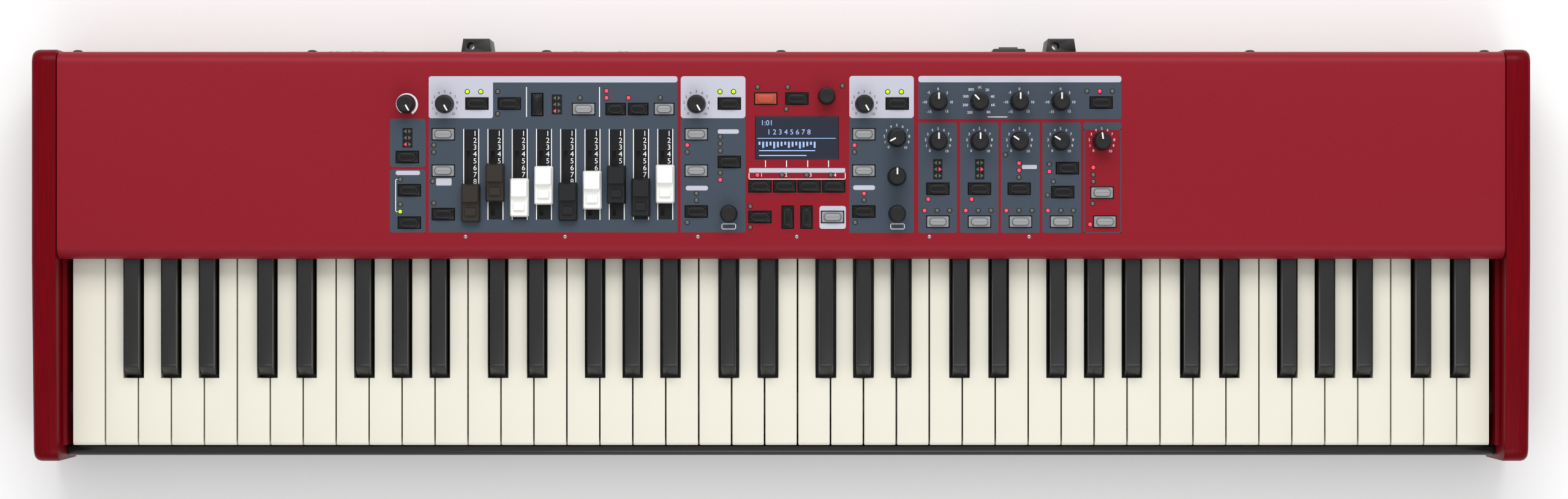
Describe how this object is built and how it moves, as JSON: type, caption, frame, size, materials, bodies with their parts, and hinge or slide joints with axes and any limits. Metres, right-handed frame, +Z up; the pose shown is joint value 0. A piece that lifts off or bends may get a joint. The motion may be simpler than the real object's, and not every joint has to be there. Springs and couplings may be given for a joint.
{
  "type": "stage keyboard",
  "caption": "Stage keyboard with waterfall keys, drawbars, knobs and push buttons on a folded panel between wooden end cheeks.",
  "frame": {"origin": "on the table, under the middle of the instrument", "axes": "+X along the keys to the right, +Y from the player to the rear, +Z up"},
  "size_m": [1.0604, 0.3008, 0.097],
  "materials": {
    "red_enamel": "fine textured satin enamel",
    "red_stained_wood": "red stain under gloss varnish",
    "ivory_plastic": "moulded, half gloss",
    "black_plastic": "moulded, satin",
    "brown_plastic": "moulded, half gloss",
    "orange_plastic": "moulded, satin",
    "grey_steel": "plain zinc-plated sheet",
    "rubber": "matte",
    "display_glass": "smooth, dark blue behind"
  },
  "bodies": {
    "chassis": {"black_keys": "black_plastic", "bottom_plate": "grey_steel", "connector_board": "grey_steel", "control_board": "black_plastic", "display_window": "display_glass", "front_left_foot": "rubber", "front_right_foot": "rubber", "key_slip": "black_plastic", "keybed": "grey_steel", "left_cheek": "red_stained_wood", "left_stand_socket": "black_plastic", "power_inlet": "black_plastic", "rear_left_foot": "rubber", "rear_right_foot": "rubber", "right_cheek": "red_stained_wood", "right_stand_socket": "black_plastic", "top_panel": "red_enamel", "white_keys": "ivory_plastic"},
    "white_key_c": {"white_key_c": "ivory_plastic"},
    "white_key_d": {"white_key_d": "ivory_plastic"},
    "white_key_e": {"white_key_e": "ivory_plastic"},
    "white_key_f": {"white_key_f": "ivory_plastic"},
    "white_key_g": {"white_key_g": "ivory_plastic"},
    "white_key_a": {"white_key_a": "ivory_plastic"},
    "white_key_b": {"white_key_b": "ivory_plastic"},
    "black_key_c_sharp": {"black_key_c_sharp": "black_plastic"},
    "black_key_d_sharp": {"black_key_d_sharp": "black_plastic"},
    "black_key_f_sharp": {"black_key_f_sharp": "black_plastic"},
    "black_key_g_sharp": {"black_key_g_sharp": "black_plastic"},
    "black_key_a_sharp": {"black_key_a_sharp": "black_plastic"},
    "drawbar_1": {"drawbar_1": "brown_plastic"},
    "drawbar_2": {"drawbar_2": "brown_plastic"},
    "drawbar_3": {"drawbar_3": "ivory_plastic"},
    "drawbar_4": {"drawbar_4": "ivory_plastic"},
    "drawbar_5": {"drawbar_5": "black_plastic"},
    "drawbar_6": {"drawbar_6": "ivory_plastic"},
    "drawbar_7": {"drawbar_7": "black_plastic"},
    "drawbar_8": {"drawbar_8": "black_plastic"},
    "drawbar_9": {"drawbar_9": "ivory_plastic"},
    "master_level_knob": {"master_level_knob": "black_plastic"},
    "organ_level_knob": {"organ_level_knob": "black_plastic"},
    "piano_level_knob": {"piano_level_knob": "black_plastic"},
    "sample_level_knob": {"sample_level_knob": "black_plastic"},
    "attack_knob": {"attack_knob": "black_plastic"},
    "decay_knob": {"decay_knob": "black_plastic"},
    "bass_knob": {"bass_knob": "black_plastic"},
    "mid_frequency_knob": {"mid_frequency_knob": "black_plastic"},
    "mid_gain_knob": {"mid_gain_knob": "black_plastic"},
    "treble_knob": {"treble_knob": "black_plastic"},
    "effect_1_knob": {"effect_1_knob": "black_plastic"},
    "effect_2_knob": {"effect_2_knob": "black_plastic"},
    "speaker_knob": {"speaker_knob": "black_plastic"},
    "delay_knob": {"delay_knob": "black_plastic"},
    "reverb_knob": {"reverb_knob": "black_plastic"},
    "program_encoder": {"program_encoder": "black_plastic"},
    "piano_select_encoder": {"piano_select_encoder": "black_plastic"},
    "sample_select_encoder": {"sample_select_encoder": "black_plastic"},
    "power_switch": {"power_switch": "black_plastic"},
    "store_button": {"store_button": "orange_plastic"},
    "vibrato_rocker": {"vibrato_rocker": "black_plastic"}
  },
  "joints": [
    {"name": "white_key_c_press", "type": "hinge", "parent": "chassis", "child": "white_key_c", "pos_m": [-0.047, 0.06055, 0.048], "axis": [1, 0, 0], "range_deg": [0, 2.87], "stiffness_Nm_per_rad": 1, "springref_deg": -8.59},
    {"name": "white_key_d_press", "type": "hinge", "parent": "chassis", "child": "white_key_d", "pos_m": [-0.0235, 0.06055, 0.048], "axis": [1, 0, 0], "range_deg": [0, 2.87], "stiffness_Nm_per_rad": 1, "springref_deg": -8.59},
    {"name": "white_key_e_press", "type": "hinge", "parent": "chassis", "child": "white_key_e", "pos_m": [0, 0.06055, 0.048], "axis": [1, 0, 0], "range_deg": [0, 2.87], "stiffness_Nm_per_rad": 1, "springref_deg": -8.59},
    {"name": "white_key_f_press", "type": "hinge", "parent": "chassis", "child": "white_key_f", "pos_m": [0.0235, 0.06055, 0.048], "axis": [1, 0, 0], "range_deg": [0, 2.87], "stiffness_Nm_per_rad": 1, "springref_deg": -8.59},
    {"name": "white_key_g_press", "type": "hinge", "parent": "chassis", "child": "white_key_g", "pos_m": [0.047, 0.06055, 0.048], "axis": [1, 0, 0], "range_deg": [0, 2.87], "stiffness_Nm_per_rad": 1, "springref_deg": -8.59},
    {"name": "white_key_a_press", "type": "hinge", "parent": "chassis", "child": "white_key_a", "pos_m": [0.0705, 0.06055, 0.048], "axis": [1, 0, 0], "range_deg": [0, 2.87], "stiffness_Nm_per_rad": 1, "springref_deg": -8.59},
    {"name": "white_key_b_press", "type": "hinge", "parent": "chassis", "child": "white_key_b", "pos_m": [0.094, 0.06055, 0.048], "axis": [1, 0, 0], "range_deg": [0, 2.87], "stiffness_Nm_per_rad": 1, "springref_deg": -8.59},
    {"name": "black_key_c_sharp_press", "type": "hinge", "parent": "chassis", "child": "black_key_c_sharp", "pos_m": [-0.03725, 0.06055, 0.048], "axis": [1, 0, 0], "range_deg": [0, 2.87], "stiffness_Nm_per_rad": 1, "springref_deg": -6.88},
    {"name": "black_key_d_sharp_press", "type": "hinge", "parent": "chassis", "child": "black_key_d_sharp", "pos_m": [-0.00935, 0.06055, 0.048], "axis": [1, 0, 0], "range_deg": [0, 2.87], "stiffness_Nm_per_rad": 1, "springref_deg": -6.88},
    {"name": "black_key_f_sharp_press", "type": "hinge", "parent": "chassis", "child": "black_key_f_sharp", "pos_m": [0.03195, 0.06055, 0.048], "axis": [1, 0, 0], "range_deg": [0, 2.87], "stiffness_Nm_per_rad": 1, "springref_deg": -6.88},
    {"name": "black_key_g_sharp_press", "type": "hinge", "parent": "chassis", "child": "black_key_g_sharp", "pos_m": [0.05875, 0.06055, 0.048], "axis": [1, 0, 0], "range_deg": [0, 2.87], "stiffness_Nm_per_rad": 1, "springref_deg": -6.88},
    {"name": "black_key_a_sharp_press", "type": "hinge", "parent": "chassis", "child": "black_key_a_sharp", "pos_m": [0.08565, 0.06055, 0.048], "axis": [1, 0, 0], "range_deg": [0, 2.87], "stiffness_Nm_per_rad": 1, "springref_deg": -6.88},
    {"name": "drawbar_1_pull", "type": "slide", "parent": "chassis", "child": "drawbar_1", "axis": [0, -1, 0], "range_m": [-0.0384, 0]},
    {"name": "drawbar_2_pull", "type": "slide", "parent": "chassis", "child": "drawbar_2", "axis": [0, -1, 0], "range_m": [-0.024, 0.0144]},
    {"name": "drawbar_3_pull", "type": "slide", "parent": "chassis", "child": "drawbar_3", "axis": [0, -1, 0], "range_m": [-0.03456, 0.00384]},
    {"name": "drawbar_4_pull", "type": "slide", "parent": "chassis", "child": "drawbar_4", "axis": [0, -1, 0], "range_m": [-0.02592, 0.01248]},
    {"name": "drawbar_5_pull", "type": "slide", "parent": "chassis", "child": "drawbar_5", "axis": [0, -1, 0], "range_m": [-0.03744, 0.00096]},
    {"name": "drawbar_6_pull", "type": "slide", "parent": "chassis", "child": "drawbar_6", "axis": [0, -1, 0], "range_m": [-0.02928, 0.00912]},
    {"name": "drawbar_7_pull", "type": "slide", "parent": "chassis", "child": "drawbar_7", "axis": [0, -1, 0], "range_m": [-0.02544, 0.01296]},
    {"name": "drawbar_8_pull", "type": "slide", "parent": "chassis", "child": "drawbar_8", "axis": [0, -1, 0], "range_m": [-0.03456, 0.00384]},
    {"name": "drawbar_9_pull", "type": "slide", "parent": "chassis", "child": "drawbar_9", "axis": [0, -1, 0], "range_m": [-0.02496, 0.01344]},
    {"name": "master_level_turn", "type": "hinge", "parent": "chassis", "child": "master_level_knob", "pos_m": [-0.2647, 0.10265, 0.083], "axis": [0, 0, -1], "range_deg": [-300, 0]},
    {"name": "organ_level_turn", "type": "hinge", "parent": "chassis", "child": "organ_level_knob", "pos_m": [-0.2377, 0.10265, 0.083], "axis": [0, 0, -1], "range_deg": [-300, 0]},
    {"name": "piano_level_turn", "type": "hinge", "parent": "chassis", "child": "piano_level_knob", "pos_m": [-0.0598, 0.10265, 0.083], "axis": [0, 0, -1], "range_deg": [-300, 0]},
    {"name": "sample_level_turn", "type": "hinge", "parent": "chassis", "child": "sample_level_knob", "pos_m": [0.0589, 0.10265, 0.083], "axis": [0, 0, -1], "range_deg": [-300, 0]},
    {"name": "attack_turn", "type": "hinge", "parent": "chassis", "child": "attack_knob", "pos_m": [0.0818, 0.07885, 0.083], "axis": [0, 0, -1], "range_deg": [-32, 268]},
    {"name": "decay_turn", "type": "hinge", "parent": "chassis", "child": "decay_knob", "pos_m": [0.0818, 0.05145, 0.083], "axis": [0, 0, -1], "range_deg": [-150, 150]},
    {"name": "bass_turn", "type": "hinge", "parent": "chassis", "child": "bass_knob", "pos_m": [0.111, 0.10445, 0.083], "axis": [0, 0, -1], "range_deg": [-150, 150]},
    {"name": "mid_frequency_turn", "type": "hinge", "parent": "chassis", "child": "mid_frequency_knob", "pos_m": [0.1402, 0.10445, 0.083], "axis": [0, 0, -1], "range_deg": [-107, 193]},
    {"name": "mid_gain_turn", "type": "hinge", "parent": "chassis", "child": "mid_gain_knob", "pos_m": [0.1684, 0.10445, 0.083], "axis": [0, 0, -1], "range_deg": [-150, 150]},
    {"name": "treble_turn", "type": "hinge", "parent": "chassis", "child": "treble_knob", "pos_m": [0.1975, 0.10445, 0.083], "axis": [0, 0, -1], "range_deg": [-150, 150]},
    {"name": "effect_1_turn", "type": "hinge", "parent": "chassis", "child": "effect_1_knob", "pos_m": [0.111, 0.07635, 0.083], "axis": [0, 0, -1], "range_deg": [-150, 150]},
    {"name": "effect_2_turn", "type": "hinge", "parent": "chassis", "child": "effect_2_knob", "pos_m": [0.1402, 0.07635, 0.083], "axis": [0, 0, -1], "range_deg": [-150, 150]},
    {"name": "speaker_turn", "type": "hinge", "parent": "chassis", "child": "speaker_knob", "pos_m": [0.1684, 0.07635, 0.083], "axis": [0, 0, -1], "range_deg": [-94, 206]},
    {"name": "delay_turn", "type": "hinge", "parent": "chassis", "child": "delay_knob", "pos_m": [0.1975, 0.07635, 0.083], "axis": [0, 0, -1], "range_deg": [-92, 208]},
    {"name": "reverb_turn", "type": "hinge", "parent": "chassis", "child": "reverb_knob", "pos_m": [0.2266, 0.07635, 0.083], "axis": [0, 0, -1], "range_deg": [-142, 158]},
    {"name": "program_encoder_turn", "type": "hinge", "parent": "chassis", "child": "program_encoder", "pos_m": [0.0322, 0.10825, 0.083], "axis": [0, 0, -1], "continuous": true},
    {"name": "piano_select_encoder_turn", "type": "hinge", "parent": "chassis", "child": "piano_select_encoder", "pos_m": [-0.0369, 0.02515, 0.083], "axis": [0, 0, -1], "continuous": true},
    {"name": "sample_select_encoder_turn", "type": "hinge", "parent": "chassis", "child": "sample_select_encoder", "pos_m": [0.082, 0.02515, 0.083], "axis": [0, 0, -1], "continuous": true},
    {"name": "power_switch_rock", "type": "hinge", "parent": "chassis", "child": "power_switch", "pos_m": [0.1624, 0.13955, 0.052], "axis": [1, 0, 0], "range_deg": [-20, 0]},
    {"name": "store_button_press", "type": "slide", "parent": "chassis", "child": "store_button", "axis": [0, 0, -1], "range_m": [0, 0.001], "stiffness_N_per_m": 300, "springref_m": -0.002},
    {"name": "vibrato_rocker_tilt", "type": "hinge", "parent": "chassis", "child": "vibrato_rocker", "pos_m": [-0.1723, 0.10235, 0.083], "axis": [1, 0, 0], "range_deg": [-5, 5], "stiffness_Nm_per_rad": 0.05}
  ]
}
